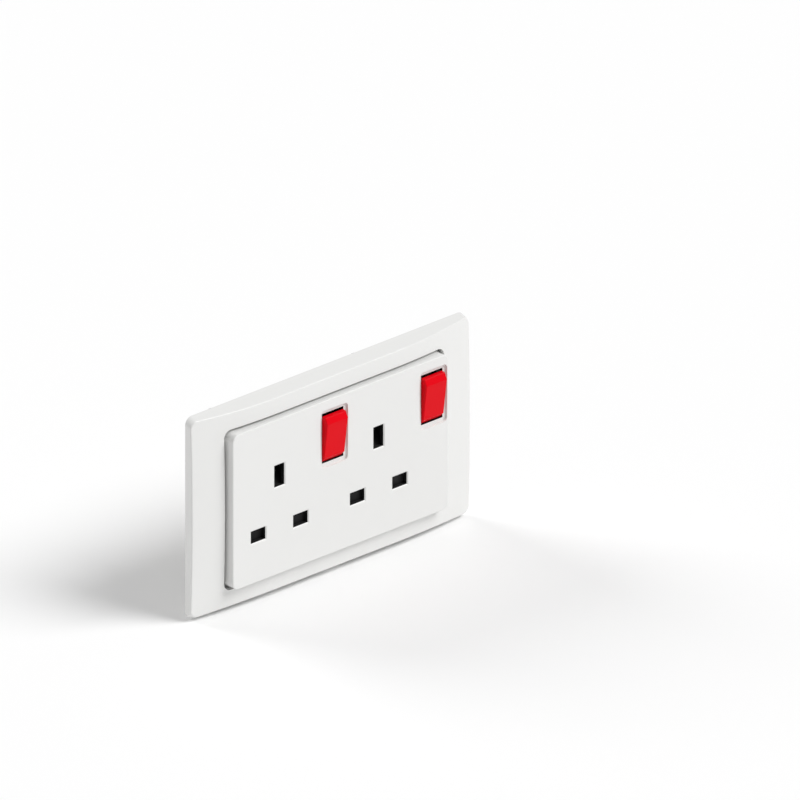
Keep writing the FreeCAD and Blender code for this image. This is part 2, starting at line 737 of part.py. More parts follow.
def terminal(body, name, across, up, front):
    outline = new_sketch(body, name + "_outline", "block_back")
    rectangle(outline, across, up, "block_width", "block_height")
    pad(body, name, outline, front + " - block_back")
    wire = new_sketch(body, name + "_wire_outline", up, "XY_Plane")
    circle(wire, across, "-wire_level", "wire_radius")
    pocket(body, name + "_wire_hole", wire, "block_height + 0.01", middle=True)
    screw = new_sketch(body, name + "_screw_outline", "wire_level")
    circle(screw, across, up, "clamp_radius + thread_gap")
    pocket(body, name + "_screw_hole", screw, "wire_level - block_back + cut_over")


def line_contact(side, axis):
    body = new_body("line_contact_" + side)
    pin_clip(body, "line_clip_" + side, "pin_spread")
    middle, half = "rocker_offset - rail_offset", "bar_width / 2"
    tab_right = "rocker_offset + contact_width / 2"
    tab_top = "rocker_rise + tip_rise + tip_radius + tab_margin"
    tab_low = "rocker_rise + tip_rise - tip_radius - tab_margin"
    tab_level = FIXED_TIP + " - tip_height"
    bar(body, "line_foot_" + side, "line_level", "pin_spread", middle + " + " + half,
        "-line_drop - " + half, "-line_drop + " + half)
    bar(body, "line_rail_" + side, "line_level", middle + " - " + half, middle + " + " + half,
        "-line_drop - " + half, tab_top)
    bar(body, "line_head_" + side, "line_level", middle + " - " + half, tab_right, tab_low, tab_top)
    riser = tab_top + " - bar_wall"
    bar(body, "line_riser_" + side, tab_level, "rocker_offset - contact_width / 2", tab_right,
        riser, tab_top, "(%s - line_level + bar_wall)" % tab_level)
    bar(body, "line_tab_" + side, tab_level, "rocker_offset - contact_width / 2", tab_right, tab_low, tab_top)
    place(body, axis, "0", "0")
    return body


def neutral_bar():
    body = new_body("neutral_bar")
    clip = pin_clip(body, "neutral_clip", "first_axis - pin_spread")
    middle, low = "first_axis - pin_spread", "-line_drop - 2.5 * bar_width"
    tab = bar(body, "neutral_tab", "line_level", middle + " - clip_width / 2", middle + " + clip_width / 2",
              low, "-line_drop")
    repeat(body, "both_neutral_clips", [clip, tab])
    bar(body, "neutral_rail", "line_level", middle, middle + " + gang_pitch", low, low + " + bar_width")
    terminal(body, "neutral_terminal", "first_axis", "-block_rise", "line_level")
    return body


def live_bar():
    body = new_body("live_bar")
    left, right = "first_axis + rocker_offset", "first_axis + rocker_offset + gang_pitch"
    half, reach = "bar_width / 2", "contact_width / 2 + cheek_gap + cheek_wall"
    bar(body, "live_rail", LIVE, left + " - (%s)" % reach, right + " + " + reach,
        "rocker_rise - " + half, "rocker_rise + " + half)
    bar(body, "live_tab", LIVE, "live_block - " + half, "live_block + " + half,
        "rocker_rise", "block_rise")
    ridge_level = "(%s - ridge_gap - ridge_radius)" % CONTACT_BACK
    post = bar(body, "ridge_post", ridge_level, left + " - contact_width / 2", left + " + contact_width / 2",
               "rocker_rise - ridge_radius", "rocker_rise + ridge_radius", "(%s - %s + root_over)" % (ridge_level, LIVE))
    crest = new_sketch(body, "ridge_outline", left, "YZ_Plane")
    circle(crest, "-" + ridge_level, "rocker_rise", "ridge_radius")
    ridge = pad(body, "ridge", crest, "contact_width", middle=True)
    cheeks = new_sketch(body, "cheek_outline", LIVE + " - bar_wall")
    for side in ("-", "+"):
        middle = "%s %s (contact_width / 2 + cheek_gap + cheek_wall / 2)" % (left, side)
        rectangle(cheeks, middle, "rocker_rise", "cheek_wall", "cheek_height")
    cheek_pad = pad(body, "cheeks", cheeks, "live_drop + contact_wall + 2 * bar_wall - cheek_gap")
    repeat(body, "both_fulcrums", [post, ridge, cheek_pad])
    terminal(body, "live_terminal", "live_block", "block_rise", LIVE)
    return body


def earth_bar():
    body = new_body("earth_bar")
    outline = new_sketch(body, "earth_clip_outline", "earth_rise", "XY_Plane")
    clip_outline(outline, "earth_level", "earth_throat_level", "earth_mouth_level", "Z")
    clip = pad(body, "earth_clip", outline, "earth_clip_width", middle=True)
    repeat(body, "both_earth_clips", [clip])
    half, second = "bar_width / 2", "first_axis + gang_pitch"
    bar(body, "earth_rail", "earth_level", "first_axis", second, "earth_rise - " + half, "earth_rise + " + half)
    bar(body, "earth_tab", "earth_level", "earth_block - " + half, "earth_block + " + half,
        "earth_rise", "block_rise")
    bar(body, "earth_strap", "earth_level", second + " - " + half, second + " + " + half,
        "-block_rise", "earth_rise")
    terminal(body, "earth_terminal", "earth_block", "block_rise", "line_level")
    terminal(body, "second_earth_terminal", second, "-block_rise", "line_level")
    return body


TERMINALS = (
    ("live_block", "block_rise"), ("first_axis", "-block_rise"),
    ("earth_block", "block_rise"), ("first_axis + gang_pitch", "-block_rise"),
)


def terminal_screws():
    body = new_body("terminal_screws")
    heads = new_sketch(body, "clamp_heads_outline", "block_back - clamp_head_height")
    shanks = new_sketch(body, "clamp_shanks_outline", "block_back")
    slots = new_sketch(body, "clamp_slots_outline", "block_back - clamp_head_height + screw_slot")
    for across, up in TERMINALS:
        circle(heads, across, up, "clamp_head_radius")
        circle(shanks, across, up, "clamp_radius")
        rectangle(slots, across, up, "5 * clamp_radius", "screw_slot")
    pad(body, "clamp_heads", heads, "clamp_head_height")
    pad(body, "clamp_shanks", shanks, "wire_level - wire_radius - block_back - thread_gap")
    pocket(body, "clamp_slots", slots, "screw_slot + cut_over")
    return body


def housing_screws():
    body = new_body("housing_screws")
    heads = new_sketch(body, "screw_heads_outline", "-housing_depth - screw_head_height")
    screw_places(heads, "screw_head_radius")
    shanks = new_sketch(body, "screw_shanks_outline", "-housing_depth")
    screw_places(shanks, "screw_radius")
    slots = new_sketch(body, "screw_slots_outline", "-housing_depth - screw_head_height + screw_slot")
    for across in ("column_left", "column_right"):
        for up in ("column_rise", "-column_rise"):
            rectangle(slots, across, up, "5 * screw_radius", "screw_slot")
    pad(body, "screw_heads", heads, "screw_head_height")
    pad(body, "screw_shanks", shanks, "housing_depth + " + PANEL_BACK + " + thread_end")
    pocket(body, "screw_slots", slots, "screw_slot + cut_over")
    return body


def shutter(side, axis):
    body = new_body("shutter_" + side)
    low = "-(line_drop + line_height / 2 + shutter_cover)"
    high = "-(line_drop - line_height / 2 - shutter_cover)"
    thick = SHUTTER_FRONT + " - " + SHUTTER_BACK
    pads = new_sketch(body, "shutter_outline_" + side, SHUTTER_BACK)
    span(pads, "-shutter_width / 2", "shutter_width / 2", low, high)
    pad(body, "shutter_bar_" + side, pads, thick)
    ramp = new_sketch(body, "ramp_outline_" + side, plane="YZ_Plane")
    side_view(ramp, [
        (SHUTTER_FRONT, high + " - root_over"), (SHUTTER_FRONT, "ramp_foot"), ("ramp_back + ramp_tip", "ramp_top"),
        ("ramp_back", "ramp_top"), ("ramp_back", "ramp_heel"), (SHUTTER_BACK, "ramp_foot - ramp_lead"),
        (SHUTTER_BACK, high + " - root_over"),
    ])
    pad(body, "ramp_" + side, ramp, "ramp_width", middle=True)
    peg = new_sketch(body, "shutter_peg_" + side, low + " - peg_length", "XY_Plane")
    circle(peg, "0", "-(%s + %s) / 2" % (SHUTTER_FRONT, SHUTTER_BACK), "spring_radius - 2 * spring_wire")
    pad(body, "shutter_peg_pad_" + side, peg, "peg_length + root_over")
    place(body, axis, "0", "0")
    return body


def shutter_spring(side, axis):
    body = new_body("shutter_spring_" + side)
    level = "(%s + %s) / 2" % (SHUTTER_FRONT, SHUTTER_BACK)
    wire = new_sketch(body, "shutter_spring_wire_" + side, level)
    wire_section(wire, "spring_radius", "-spring_foot + spring_wire + spring_rest")
    length = "(spring_foot - line_drop - line_height / 2 - shutter_cover - 2 * spring_wire - 2 * spring_rest)"
    coil(body, "shutter_coil_" + side, wire, "V_Axis", length + " / shutter_turns", length)
    place(body, axis, "0", "0")
    return body


def contact_carrier():
    body = new_body("contact_carrier")
    outline = new_sketch(body, "carrier_outline", CARRIER_BACK)
    trimmed = " - 2 * panel_skirt - 2 * carrier_gap"
    rectangle(outline, "0", "0", "panel_width" + trimmed, "panel_height" + trimmed)
    pad(body, "carrier_plate", outline, "carrier_wall")
    deep = CARRIER_BACK + " - well_back"
    wells = new_sketch(body, "well_outline", "well_back")
    inner = new_sketch(body, "well_inside_outline", CARRIER_BACK)
    holes = new_sketch(body, "pin_hole_outline", CARRIER_FRONT)
    well_high = "clip_base + 2 * leaf_wall + 2 * well_gap"
    well_wide = "line_width + 2 * slide_gap"
    for side in ("first_axis - pin_spread", "first_axis + pin_spread"):
        rectangle(wells, side, "-line_drop", well_wide + " + 2 * well_wall", well_high + " + 2 * well_wall")
        rectangle(inner, side, "-line_drop", well_wide, well_high)
        rectangle(holes, side, "-line_drop", well_wide, "line_height + slide_gap")
    well_pad = pad(body, "wells", wells, deep)
    well_cut = pocket(body, "well_insides", inner, deep)
    hole_cut = pocket(body, "pin_holes", holes, "carrier_wall + 2 * notch_over")
    ramp_wide = "ramp_width + 4 * slide_gap"
    earth_top = "(earth_rise + earth_clip_width / 2 + well_gap)"
    channel = new_sketch(body, "earth_channel_outline", "earth_well_back")
    span(channel, "first_axis - ramp_width / 2 - 2 * slide_gap - well_wall",
         "first_axis + ramp_width / 2 + 2 * slide_gap + well_wall", "ramp_foot", earth_top + " + well_wall")
    channel_pad = pad(body, "earth_channel", channel, CARRIER_BACK + " - earth_well_back")
    passage = new_sketch(body, "earth_passage_outline", CARRIER_BACK)
    span(passage, "first_axis - (%s) / 2" % ramp_wide, "first_axis + (%s) / 2" % ramp_wide,
         "ramp_foot - cut_over", earth_top)
    passage_cut = pocket(body, "earth_passage", passage, CARRIER_BACK + " - earth_well_back + cut_over")
    slot = new_sketch(body, "ramp_slot_outline", CARRIER_FRONT)
    span(slot, "first_axis - (%s) / 2" % ramp_wide, "first_axis + (%s) / 2" % ramp_wide,
         "ramp_foot - ramp_lead - shutter_travel - ramp_room", earth_top)
    slot_cut = pocket(body, "ramp_slot", slot, "carrier_wall + 2 * notch_over")
    rocker_axis = "first_axis + rocker_offset"
    gap = new_sketch(body, "rocker_gap_outline", CARRIER_FRONT)
    rectangle(gap, rocker_axis, "rocker_rise", "2 * " + BEARING_INNER, WINDOW_HEIGHT)
    gap_cut = pocket(body, "rocker_gap", gap, "carrier_wall + cut_over")
    seat = new_sketch(body, "lower_bearing_outline", rocker_axis, "YZ_Plane")
    circle(seat, "-" + PIVOT, "rocker_rise", BEARING_RADIUS)
    seat_cut = pocket(body, "lower_bearing", seat, "2 * (%s + bearing_wall + notch_over)" % BEARING_INNER, middle=True)
    repeat(body, "both_carrier_places", [
        well_pad, well_cut, hole_cut, channel_pad, passage_cut, slot_cut, gap_cut, seat_cut])
    holes = new_sketch(body, "carrier_screw_places", CARRIER_FRONT)
    screw_places(holes, "screw_radius + screw_gap")
    pocket(body, "carrier_screw_holes", holes, "carrier_wall + cut_over")
    return body


def support(body, name, across, up, wide, high, level):
    outline = new_sketch(body, name + "_outline", "-housing_depth + housing_wall")
    rectangle(outline, across, up, wide, high)
    return pad(body, name, outline, "(%s) - bar_wall + housing_depth - housing_wall" % level)


def back_recesses(body):
    # a shallow panel in the back, and a groove beside it as long as a wire is stripped
    panel = new_sketch(body, "back_recess_outline", "-housing_depth + back_recess_depth")
    round_rectangle(panel, "0", "0", "back_recess_width", "back_recess_height", "housing_corner")
    pocket(body, "back_recess", panel, "back_recess_depth + cut_over")
    gauge = new_sketch(body, "gauge_outline", "-housing_depth + gauge_depth")
    rectangle(gauge, "(housing_width + back_recess_width) / 4", "0", "gauge_width", "gauge_length")
    pocket(body, "strip_gauge", gauge, "gauge_depth + cut_over")


def rear_housing():
    body = new_body("rear_housing")
    outline = new_sketch(body, "housing_outline", "-housing_depth")
    rectangle(outline, "0", "0", "housing_width", "housing_height")
    block = pad(body, "housing_block", outline, "housing_depth")
    corners = rounded(body, "housing_corners", block, at_corner, "housing_corner")
    dress(body, "Chamfer", "housing_bevels", corners, at_back, "Size", "housing_bevel")
    back_recesses(body)
    hollow = new_sketch(body, "hollow_outline")
    rectangle(hollow, "0", "0", "housing_width - 2 * housing_wall", "housing_height - 2 * housing_wall")
    pocket(body, "hollow", hollow, "housing_depth - housing_wall")
    columns = new_sketch(body, "column_outline", "-housing_depth + housing_wall")
    screw_places(columns, "column_radius")
    pad(body, "columns", columns, "housing_depth - housing_wall + " + CARRIER_BACK)
    holes = new_sketch(body, "housing_screw_places", CARRIER_BACK)
    screw_places(holes, "screw_radius + screw_gap")
    pocket(body, "housing_screw_holes", holes, "housing_depth + cut_over + " + CARRIER_BACK)
    rocker_axis = "first_axis + rocker_offset"
    live = support(body, "live_post", rocker_axis, "rocker_rise", "bar_width", "bar_width", LIVE)
    line = support(body, "line_post", "first_axis + rocker_offset - rail_offset", "0", "bar_width", "bar_width",
                   "line_level")
    repeat(body, "both_posts", [live, line])
    rail = "-line_drop - 2 * bar_width"
    for name, across in (("left_neutral_post", "first_axis - left_post"), ("neutral_post", "first_axis + middle_post")):
        support(body, name, across, rail, "bar_width", "bar_width", "line_level")
    support(body, "earth_post", "first_axis + earth_post_offset", "earth_rise", "bar_width", "bar_width", "earth_level")
    support(body, "earth_strap_post", "first_axis + gang_pitch", "-strap_post_drop", "bar_width", "bar_width", "earth_level")
    access = new_sketch(body, "access_outline", "-housing_depth + housing_wall")
    entries = new_sketch(body, "entry_outline", "wire_level + wire_radius + entry_room")
    for across, up in TERMINALS:
        circle(access, across, up, "clamp_head_radius + 2 * screw_gap")
        sign = "-" if up.startswith("-") else ""
        rectangle(entries, across, sign + "(housing_height / 2)", "2 * (wire_radius + entry_room)", "4 * housing_wall")
    pocket(body, "screw_access", access, "housing_wall + cut_over")
    pocket(body, "wire_entries", entries, "2 * (wire_radius + entry_room)")
    return body


def check(nodes):
    for item in doc.Objects:
        if "Invalid" in item.State or "Error" in item.State:
            raise RuntimeError("%s did not build: %s" % (item.Name, item.State))
    for node in nodes:
        if node.Shape.isNull() or not node.Shape.isValid():
            raise RuntimeError(node.Label + " has no valid shape")


def main():
    nodes = [surround(), front_panel(), contact_carrier(), rear_housing(), live_bar(), neutral_bar(), earth_bar()]
    nodes += [fixed_tips(), terminal_screws(), housing_screws()]
    pairs = (rocker, plunger, rocker_spring, moving_contact, moving_tip, line_contact, shutter, shutter_spring)
    nodes += [make(side, axis) for make in pairs for side, axis in SIDES]
    doc.recompute()
    check(nodes)
    os.makedirs("parts", exist_ok=True)
    for node in nodes:
        node.Shape.exportStep("parts/%s.step" % node.Label)


main()
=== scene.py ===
"""Looks for a British twin switched socket outlet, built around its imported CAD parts.

The front faces -Y, Z is up, and every length is in metres.
"""

import json
import math

import bmesh
import bpy
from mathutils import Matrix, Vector


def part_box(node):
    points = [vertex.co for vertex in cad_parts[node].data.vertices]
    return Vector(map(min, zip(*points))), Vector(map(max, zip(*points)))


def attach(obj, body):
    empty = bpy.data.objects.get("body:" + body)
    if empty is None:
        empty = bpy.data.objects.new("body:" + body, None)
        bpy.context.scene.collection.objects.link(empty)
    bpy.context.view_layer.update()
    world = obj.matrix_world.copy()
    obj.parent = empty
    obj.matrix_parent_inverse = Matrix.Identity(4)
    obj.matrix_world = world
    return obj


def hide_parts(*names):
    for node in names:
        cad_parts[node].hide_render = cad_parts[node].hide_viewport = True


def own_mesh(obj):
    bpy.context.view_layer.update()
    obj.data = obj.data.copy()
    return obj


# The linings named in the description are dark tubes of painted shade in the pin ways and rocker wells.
bl_info = {
    "name": "Twin socket outlet looks",
    "version": (1, 0, 0),
    "blender": (4, 5, 0),
    "location": "View3D > Sidebar > Socket",
    "description": "Linings, finishes and studio for a twin switched socket outlet",
    "category": "Object",
}

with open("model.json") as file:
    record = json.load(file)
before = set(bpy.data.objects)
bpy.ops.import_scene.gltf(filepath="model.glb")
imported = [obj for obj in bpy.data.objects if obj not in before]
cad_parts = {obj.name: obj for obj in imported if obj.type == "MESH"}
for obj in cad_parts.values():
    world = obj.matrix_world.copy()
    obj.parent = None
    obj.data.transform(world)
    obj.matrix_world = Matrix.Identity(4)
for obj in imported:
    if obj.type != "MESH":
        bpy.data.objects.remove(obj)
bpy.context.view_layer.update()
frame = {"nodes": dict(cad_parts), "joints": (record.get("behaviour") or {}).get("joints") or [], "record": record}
PANEL_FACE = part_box("front_panel")[0].y
PLATE_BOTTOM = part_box("surround_plate")[0].z
PIN_WAYS = frame["record"]["physics"]["openings"]
WAY_INSET = 0.0001  # the record's pin way boxes lie this far inside the walls
FLOOR_GAP = 0.0005  # the floor lies this far under the plate
FACING = 0.9  # a face looks along an axis when its normal has at least this much of it
SMOOTH_BELOW = math.radians(50.0)  # edges flatter than this are shaded smooth
PLASTIC_IOR = 1.53
SKIN_DEPTH = 0.00003
SPARKED_DEPTH = 0.00006
ROLLED_DEPTH = 0.00002
ROLLED_STRETCH = (0.06, 1.0, 1.0)  # draws the noise out into lines along X
DUST_DULLING = 0.5  # roughness that a full coat of dust adds
SIDES = ("left", "right")


# ---------------------------------------------------------------- settings


class PaintedShadeSizes(bpy.types.PropertyGroup):
    """Sizes of the thin dark tubes of painted shade in the pin ways and rocker wells."""

    wall: bpy.props.FloatProperty(
        name="Wall", description="Thickness of a lining's wall", default=0.00007, unit="LENGTH", precision=5
    )
    clearance: bpy.props.FloatProperty(
        name="Clearance", description="Space between a lining and the moulding round it",
        default=0.00002, unit="LENGTH", precision=5,
    )
    way_front: bpy.props.FloatProperty(
        name="Pin way front", description="How far below the panel's face a pin way's lining starts",
        default=0.00042, unit="LENGTH", precision=5,
    )
    way_back: bpy.props.FloatProperty(
        name="Pin way back", description="How far below the panel's face a pin way's lining ends",
        default=0.0022, unit="LENGTH", precision=5,
    )
    well_front: bpy.props.FloatProperty(
        name="Well front", description="How far below the panel's face a rocker well's lining starts",
        default=0.00104, unit="LENGTH", precision=5,
    )
    well_back: bpy.props.FloatProperty(
        name="Well back", description="How far below the panel's face a rocker well's lining ends",
        default=0.0022, unit="LENGTH", precision=5,
    )
    well_width: bpy.props.FloatProperty(
        name="Well width", description="Width of the opening that a rocker tilts in", default=0.0113,
        unit="LENGTH", precision=5,
    )
    well_height: bpy.props.FloatProperty(
        name="Well height", description="Height of the opening that a rocker tilts in", default=0.0212,
        unit="LENGTH", precision=5,
    )


class SpringSizes(bpy.types.PropertyGroup):
    """Sizes of the shutters' return springs."""

    wire: bpy.props.FloatProperty(
        name="Wire", description="Diameter of a return spring's wire", default=0.0004, unit="LENGTH",
        precision=5,
    )
    turns: bpy.props.IntProperty(name="Turns", description="Turns of a return spring", default=5, min=2)
    sides: bpy.props.IntProperty(name="Sides", description="Flats round the wire", default=10, min=6)
    steps: bpy.props.IntProperty(name="Steps", description="Sections in one turn", default=24, min=8)


class MouldingColours(bpy.types.PropertyGroup):
    """Colours of the mouldings and metals."""

    white: bpy.props.FloatVectorProperty(
        name="White", description="Surround and panel", subtype="COLOR", size=3, default=(0.82, 0.82, 0.808)
    )
    red: bpy.props.FloatVectorProperty(
        name="Red", description="Rockers", subtype="COLOR", size=3, default=(0.775, 0.0006, 0.0075)
    )
    # The black also paints shade: it colours the dark tubes in the pin ways and rocker wells.
    black: bpy.props.FloatVectorProperty(
        name="Black", description="Shutters, carrier and linings", subtype="COLOR", size=3,
        default=(0.011, 0.011, 0.0115),
    )
    housing: bpy.props.FloatVectorProperty(
        name="Housing", description="Rear housing", subtype="COLOR", size=3, default=(0.60, 0.59, 0.56)
    )
    brass: bpy.props.FloatVectorProperty(
        name="Brass", description="Bars, clips and terminals", subtype="COLOR", size=3,
        default=(0.72, 0.50, 0.20),
    )
    tarnish: bpy.props.FloatVectorProperty(
        name="Tarnish", description="Darker patches on the brass", subtype="COLOR", size=3,
        default=(0.42, 0.25, 0.09),
    )
    zinc: bpy.props.FloatVectorProperty(
        name="Zinc", description="Plated screws and springs", subtype="COLOR", size=3,
        default=(0.55, 0.56, 0.58),
    )
    silver: bpy.props.FloatVectorProperty(
        name="Silver", description="Contact tips", subtype="COLOR", size=3, default=(0.80, 0.79, 0.77)
    )


class StudioSettings(bpy.types.PropertyGroup):
    """The camera, the floor and the light."""

    azimuth: bpy.props.FloatProperty(
        name="Azimuth", description="Camera's turn round the socket from straight in front",
        default=math.radians(-42.5), subtype="ANGLE",
    )
    elevation: bpy.props.FloatProperty(
        name="Elevation", description="Camera's height above the level", default=math.radians(25.0),
        subtype="ANGLE",
    )
    view_width: bpy.props.FloatProperty(
        name="View width", description="Width that the camera sees", default=0.3095, unit="LENGTH"
    )
    aim_right: bpy.props.FloatProperty(
        name="Aim right", description="View centre to the right of the socket's centre", default=0.0293,
        unit="LENGTH",
    )
    aim_up: bpy.props.FloatProperty(
        name="Aim up", description="View centre above the socket's centre", default=0.0251, unit="LENGTH"
    )
    distance: bpy.props.FloatProperty(
        name="Distance", description="Camera's distance from the view centre", default=1.2, unit="LENGTH"
    )
    floor_size: bpy.props.FloatProperty(
        name="Floor size", description="Width of the floor", default=6.0, unit="LENGTH"
    )
    key_strength: bpy.props.FloatProperty(
        name="Key strength", description="Strength of the wide lamp at the front right", default=2.15
    )
    back_strength: bpy.props.FloatProperty(
        name="Back strength", description="Strength of the wide lamp behind", default=1.0
    )
    sky_strength: bpy.props.FloatProperty(
        name="Sky strength", description="Strength of the even light all round", default=0.35
    )
    backdrop_strength: bpy.props.FloatProperty(
        name="Backdrop strength", description="How bright the sky looks to the camera", default=0.92
    )


def settings(name):
    """One group of this scene's settings."""
    return getattr(bpy.context.scene, "socket_" + name)


# ---------------------------------------------------------------- modelling helpers


def start_alone():
    if bpy.context.object and bpy.context.object.mode != "OBJECT":
        bpy.ops.object.mode_set(mode="OBJECT")
    bpy.ops.object.select_all(action="DESELECT")


def open_box(name, low, high):
    """A box at its place, with its front and back faces cut away."""
    start_alone()
    middle = [(low[axis] + high[axis]) / 2 for axis in range(3)]
    bpy.ops.mesh.primitive_cube_add(size=1.0, location=middle)
    piece = bpy.context.object
    piece.name = piece.data.name = name
    piece.scale = [high[axis] - low[axis] for axis in range(3)]
    bpy.ops.object.transform_apply(location=True, rotation=True, scale=True)
    select_faces(piece, lambda face: abs(face.normal.y) > FACING)
    bpy.ops.mesh.delete(type="FACE")
    bpy.ops.object.mode_set(mode="OBJECT")
    return piece


def select_faces(piece, wanted):
    """Enters edit mode with only the wanted faces selected."""
    bpy.context.view_layer.objects.active = piece
    bpy.ops.object.mode_set(mode="EDIT")
    bpy.ops.mesh.select_mode(type="FACE")
    bpy.ops.mesh.select_all(action="DESELECT")
    mesh = bmesh.from_edit_mesh(piece.data)
    for face in mesh.faces:
        face.select_set(wanted(face))
    bmesh.update_edit_mesh(piece.data)


def wound_wire(name, low, high):
    """A round wire wound up through a box, with its two ends closed."""
    sizes = settings("springs")
    half = sizes.wire / 2
    start_alone()
    bpy.ops.mesh.primitive_circle_add(
        vertices=sizes.sides, radius=half, location=((high.x - low.x) / 2 - half, 0.0, 0.0),
        rotation=(math.pi / 2, 0.0, 0.0),
    )
    piece = bpy.context.object
    piece.name = piece.data.name = name
    bpy.ops.object.transform_apply(location=True, rotation=True, scale=True)
    winding = piece.modifiers.new("winding", "SCREW")
    winding.axis = "Z"
    winding.iterations = sizes.turns
    winding.screw_offset = (high.z - low.z - sizes.wire) / sizes.turns
    winding.steps = winding.render_steps = sizes.steps
    bpy.ops.object.modifier_apply(modifier="winding")
    select_faces(piece, lambda face: True)
    bpy.ops.mesh.fill_holes(sides=0)
    bpy.ops.mesh.select_all(action="SELECT")
    bpy.ops.mesh.normals_make_consistent(inside=False)
    bpy.ops.object.mode_set(mode="OBJECT")
    piece.location = ((low.x + high.x) / 2, (low.y + high.y) / 2, low.z + half)
    bpy.ops.object.transform_apply(location=True, rotation=True, scale=True)
    bpy.ops.object.shade_smooth_by_angle(angle=SMOOTH_BELOW)
    return piece


def joined(name, pieces):
    start_alone()
    for piece in pieces:
        piece.select_set(True)
    bpy.context.view_layer.objects.active = pieces[0]
    bpy.ops.object.join()
    whole = bpy.context.object
    whole.name = whole.data.name = name
    return whole


# ---------------------------------------------------------------- shader groups


def new_group(name, inputs, outputs):
    group = bpy.data.node_groups.new(name, "ShaderNodeTree")
    for label, kind, default in inputs:
        socket = group.interface.new_socket(name=label, in_out="INPUT", socket_type=kind)
        socket.default_value = default
    for label, kind in outputs:
        group.interface.new_socket(name=label, in_out="OUTPUT", socket_type=kind)
    entry = group.nodes.new("NodeGroupInput")
    leave = group.nodes.new("NodeGroupOutput")
    return group, entry, leave


def math_node(tree, operation, *values):
    node = tree.nodes.new("ShaderNodeMath")
    node.operation = operation
    for socket, value in zip(node.inputs, values):
        if isinstance(value, bpy.types.NodeSocket):
            tree.links.new(value, socket)
        else:
            socket.default_value = value
    return node.outputs[0]


def noise(tree, coordinates, scale, detail, roughness):
    node = tree.nodes.new("ShaderNodeTexNoise")
    tree.links.new(coordinates, node.inputs["Vector"])
    for label, value in (("Scale", scale), ("Detail", detail), ("Roughness", roughness)):
        if isinstance(value, bpy.types.NodeSocket):
            tree.links.new(value, node.inputs[label])
        else:
            node.inputs[label].default_value = value
    return node.outputs["Fac"]


def blended(tree, factor, first, second):
    node = tree.nodes.new("ShaderNodeMix")
    node.data_type = "RGBA"
    for label, value in (("Factor", factor), ("A", first), ("B", second)):
        tree.links.new(value, node.inputs[label])
    return node.outputs["Result"]


def spread(tree, value, low, high, to_low=0.0, to_high=1.0):
    """Maps low to high smoothly onto to_low to to_high."""
    node = tree.nodes.new("ShaderNodeMapRange")
    node.interpolation_type = "SMOOTHSTEP"
    tree.links.new(value, node.inputs["Value"])
    for label, amount in (("From Min", low), ("From Max", high), ("To Min", to_low), ("To Max", to_high)):
        if isinstance(amount, bpy.types.NodeSocket):
            tree.links.new(amount, node.inputs[label])
        else:
            node.inputs[label].default_value = amount
    return node.outputs["Result"]


def moulded_skin():
    """Moulded plastic: slow flow mottle in the colour, a fine skin in the height and uneven gloss."""
    if "moulded_skin" in bpy.data.node_groups:
        return bpy.data.node_groups["moulded_skin"]
    group, entry, leave = new_group(
        "moulded_skin",
        [
            ("Colour", "NodeSocketColor", (0.8, 0.8, 0.8, 1.0)),
            ("Flow colour", "NodeSocketColor", (0.78, 0.78, 0.76, 1.0)),
            ("Mottle", "NodeSocketFloat", 0.3),
            ("Gloss low", "NodeSocketFloat", 0.2),
            ("Gloss high", "NodeSocketFloat", 0.3),
            ("Skin scale", "NodeSocketFloat", 900.0),
        ],
        [("Colour", "NodeSocketColor"), ("Roughness", "NodeSocketFloat"), ("Height", "NodeSocketFloat")],
    )
    place = group.nodes.new("ShaderNodeTexCoord").outputs["Object"]
    flow = noise(group, place, scale=34.0, detail=4.0, roughness=0.55)
    handling = noise(group, place, scale=120.0, detail=5.0, roughness=0.6)
    skin = noise(group, place, scale=entry.outputs["Skin scale"], detail=3.0, roughness=0.55)
    streaks = spread(group, flow, low=0.35, high=0.7)
    mottle = math_node(group, "MULTIPLY", streaks, entry.outputs["Mottle"])
    colour = blended(group, mottle, entry.outputs["Colour"], entry.outputs["Flow colour"])
    group.links.new(colour, leave.inputs["Colour"])
    rough = spread(
        group, handling, low=0.3, high=0.75,
        to_low=entry.outputs["Gloss low"], to_high=entry.outputs["Gloss high"],
    )
    group.links.new(rough, leave.inputs["Roughness"])
    group.links.new(skin, leave.inputs["Height"])
    return group


def rolled_metal():
    """Rolled or drawn metal: fine lines along X, patches of tarnish and uneven gloss."""
    if "rolled_metal" in bpy.data.node_groups:
        return bpy.data.node_groups["rolled_metal"]
    group, entry, leave = new_group(
        "rolled_metal",
        [
            ("Colour", "NodeSocketColor", (0.7, 0.5, 0.2, 1.0)),
            ("Tarnish colour", "NodeSocketColor", (0.4, 0.25, 0.1, 1.0)),
            ("Tarnish", "NodeSocketFloat", 0.5),
            ("Gloss low", "NodeSocketFloat", 0.2),
            ("Gloss high", "NodeSocketFloat", 0.45),
        ],
        [("Colour", "NodeSocketColor"), ("Roughness", "NodeSocketFloat"), ("Height", "NodeSocketFloat")],
    )
    place = group.nodes.new("ShaderNodeTexCoord").outputs["Object"]
    stretch = group.nodes.new("ShaderNodeMapping")
    stretch.inputs["Scale"].default_value = ROLLED_STRETCH
    group.links.new(place, stretch.inputs["Vector"])
    lines = noise(group, stretch.outputs["Vector"], scale=2600.0, detail=4.0, roughness=0.6)
    patches = noise(group, place, scale=150.0, detail=6.0, roughness=0.65)
    stained = spread(group, patches, low=0.42, high=0.7)
    amount = math_node(group, "MULTIPLY", stained, entry.outputs["Tarnish"])
    colour = blended(group, amount, entry.outputs["Colour"], entry.outputs["Tarnish colour"])
    group.links.new(colour, leave.inputs["Colour"])
    worn = math_node(group, "MULTIPLY", math_node(group, "ADD", lines, patches), 0.5)
    rough = spread(
        group, worn, low=0.3, high=0.7,
        to_low=entry.outputs["Gloss low"], to_high=entry.outputs["Gloss high"],
    )
    group.links.new(rough, leave.inputs["Roughness"])
    group.links.new(lines, leave.inputs["Height"])
    return group


